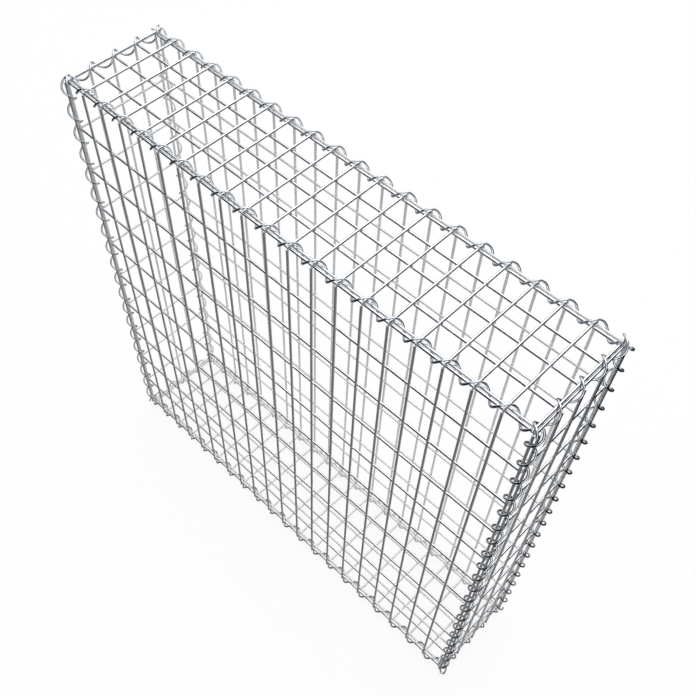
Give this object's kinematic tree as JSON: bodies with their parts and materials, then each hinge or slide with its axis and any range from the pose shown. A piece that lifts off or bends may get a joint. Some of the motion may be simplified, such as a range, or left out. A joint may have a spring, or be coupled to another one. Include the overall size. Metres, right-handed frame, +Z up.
{
  "type": "gabion basket",
  "caption": "Narrow upright gabion basket of galvanised welded wire mesh, laced along every edge with open wire spirals, made to be filled with stones as a wall panel",
  "frame": {"origin": "under the middle of the basket, at the height of the lowest spirals, which it stands on", "axes": "+X along the long face to the right as seen from the front, +Y through the narrow depth from front to back, +Z up"},
  "size_m": [1.0274, 0.227, 1.0267],
  "materials": {
    "mesh_wire": "galvanised drawn wire, bright silver with a fine grey mottle",
    "spiral_wire": "galvanised spring wire, slightly bluer and brighter than the mesh"
  },
  "bodies": {
    "root": {"front_mat": "mesh_wire", "back_mat": "mesh_wire", "left_mat": "mesh_wire", "right_mat": "mesh_wire", "lid_mat": "mesh_wire", "base_mat": "mesh_wire", "spiral_top_front": "spiral_wire", "spiral_top_back": "spiral_wire", "spiral_top_left": "spiral_wire", "spiral_top_right": "spiral_wire", "spiral_base_front": "spiral_wire", "spiral_base_back": "spiral_wire", "spiral_base_left": "spiral_wire", "spiral_base_right": "spiral_wire", "spiral_upright_front_left": "spiral_wire", "spiral_upright_front_right": "spiral_wire", "spiral_upright_back_left": "spiral_wire", "spiral_upright_back_right": "spiral_wire"}
  },
  "joints": []
}
